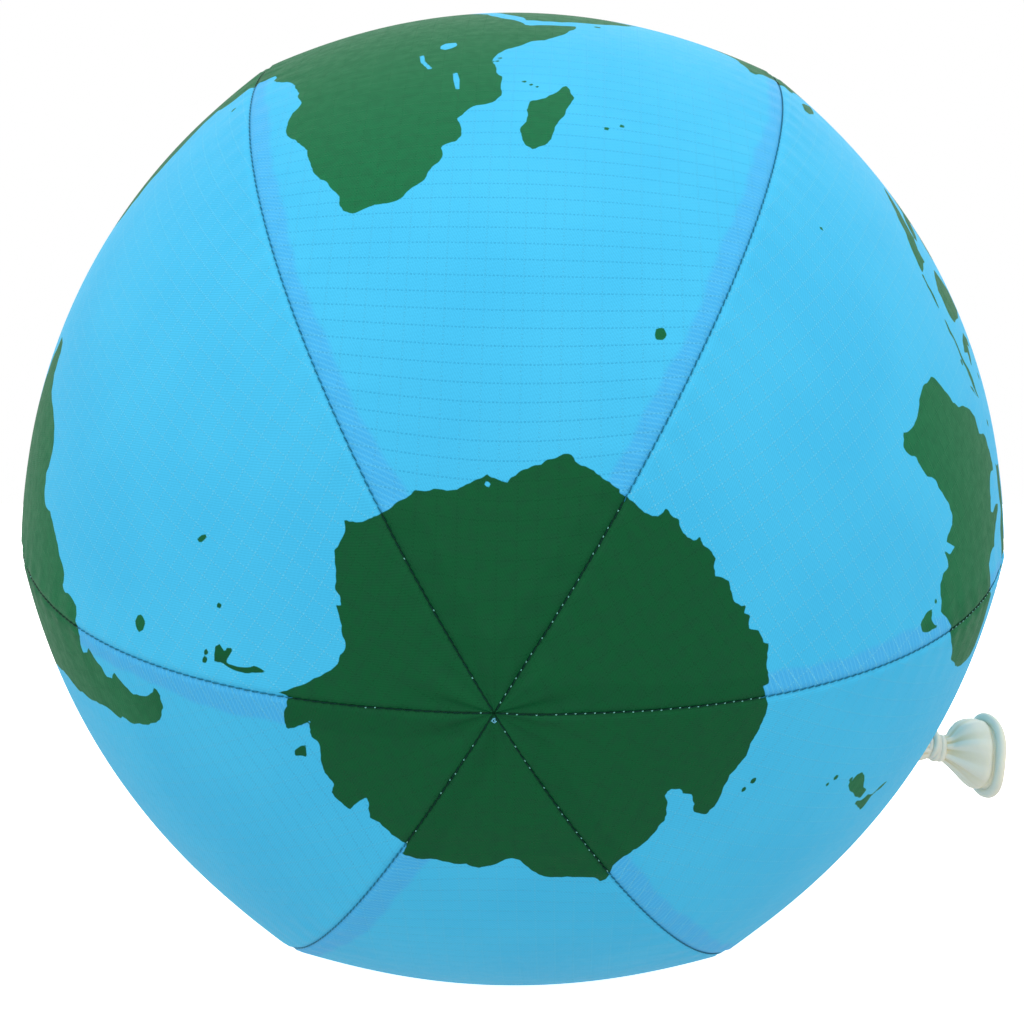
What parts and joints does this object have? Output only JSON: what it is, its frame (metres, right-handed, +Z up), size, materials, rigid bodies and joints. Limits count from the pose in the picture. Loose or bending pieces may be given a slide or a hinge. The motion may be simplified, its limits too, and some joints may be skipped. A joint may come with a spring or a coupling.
{
  "type": "balloon ball",
  "caption": "Soft ball: a sewn cloth globe cover of pointed gores, kept round by an inflated rubber balloon whose tied neck sticks out of a flapped opening.",
  "frame": {"origin": "centre of the small flat patch under the ball, where it rests", "axes": "+Z up; the ball's south pole faces -Y and dips 20 degrees below the horizon; the balloon's tied neck sticks out towards +X"},
  "size_m": [0.26, 0.2673, 0.2495],
  "materials": {
    "cloth": "sky-blue ripstop nylon, printed with green land",
    "thread": "teal sewing thread",
    "balloon_rubber": "translucent white latex"
  },
  "bodies": {
    "cover": {"gore_1": "cloth", "gore_2": "cloth", "gore_4": "cloth", "gore_5": "cloth", "gore_6": "cloth", "opening_panel_south": "cloth", "opening_panel_north": "cloth", "seam_stitching_1": "thread", "seam_stitching_2": "thread", "seam_stitching_3": "thread", "seam_stitching_4": "thread", "seam_stitching_5": "thread", "seam_stitching_6": "thread", "balloon_body": "balloon_rubber"},
    "flap": {"opening_flap": "cloth", "flap_hem_stitching": "thread"},
    "neck": {"balloon_neck": "balloon_rubber"},
    "knot": {"balloon_knot": "balloon_rubber"},
    "tail": {"balloon_tail": "balloon_rubber", "balloon_lip": "balloon_rubber"}
  },
  "joints": [
    {"name": "flap_lift", "type": "hinge", "parent": "cover", "child": "flap", "pos_m": [0.10521, 0.00775, 0.05647], "axis": [-0.5162, 0.3109, -0.798], "range_deg": [0, 50], "stiffness_Nm_per_rad": 0.004},
    {"name": "neck_pull", "type": "slide", "parent": "cover", "child": "neck", "axis": [0.96, 0.25, -0.126], "range_m": [0, 0.008], "stiffness_N_per_m": 60},
    {"name": "knot_swing", "type": "hinge", "parent": "neck", "child": "knot", "pos_m": [0.11484, 0.02767, 0.05614], "axis": [-0.1855, 0.9051, 0.3826], "range_deg": [-25, 25], "stiffness_Nm_per_rad": 0.006},
    {"name": "tail_bend", "type": "hinge", "parent": "knot", "child": "tail", "pos_m": [0.11484, 0.02767, 0.05614], "axis": [0.2097, -0.3439, 0.9153], "range_deg": [-40, 60], "stiffness_Nm_per_rad": 0.004}
  ]
}
